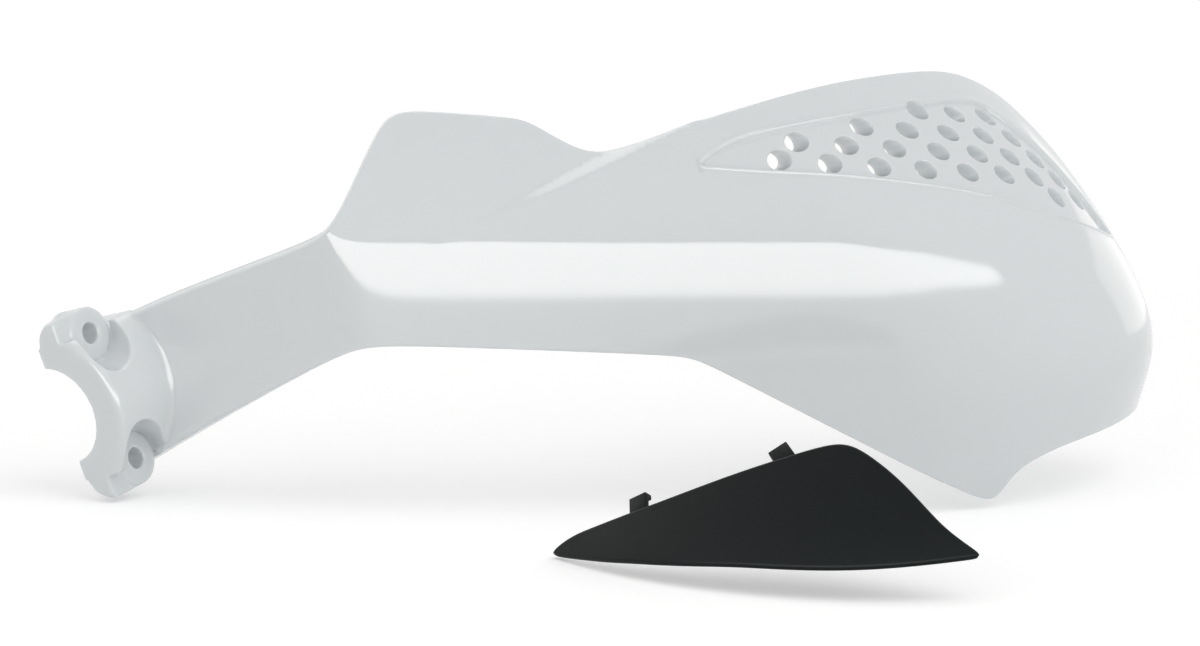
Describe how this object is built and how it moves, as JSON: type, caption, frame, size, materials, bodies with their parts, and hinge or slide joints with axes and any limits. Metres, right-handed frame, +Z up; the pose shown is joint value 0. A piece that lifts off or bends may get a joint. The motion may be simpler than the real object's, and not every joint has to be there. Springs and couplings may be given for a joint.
{
  "type": "motorcycle hand guard",
  "caption": "Moulded hand guard with a half clamp, a flanged arm, a winglet and a wrapped shield with a vent panel, and the loose cover of the panel.",
  "frame": {"origin": "on the handlebar's axis, midway along the clamp", "axes": "+X runs along the guard from the clamp to the wrapped end, +Y points from the guard's face back to the rider's hand, +Z is up"},
  "size_m": [0.3262, 0.2083, 0.1219],
  "materials": {
    "shell_plastic": "white polypropylene, injection moulded, smooth gloss",
    "cover_plastic": "black polypropylene, injection moulded, fine matte grain"
  },
  "bodies": {
    "root": {"guard_shell": "shell_plastic", "vent_cover": "cover_plastic"}
  },
  "joints": []
}
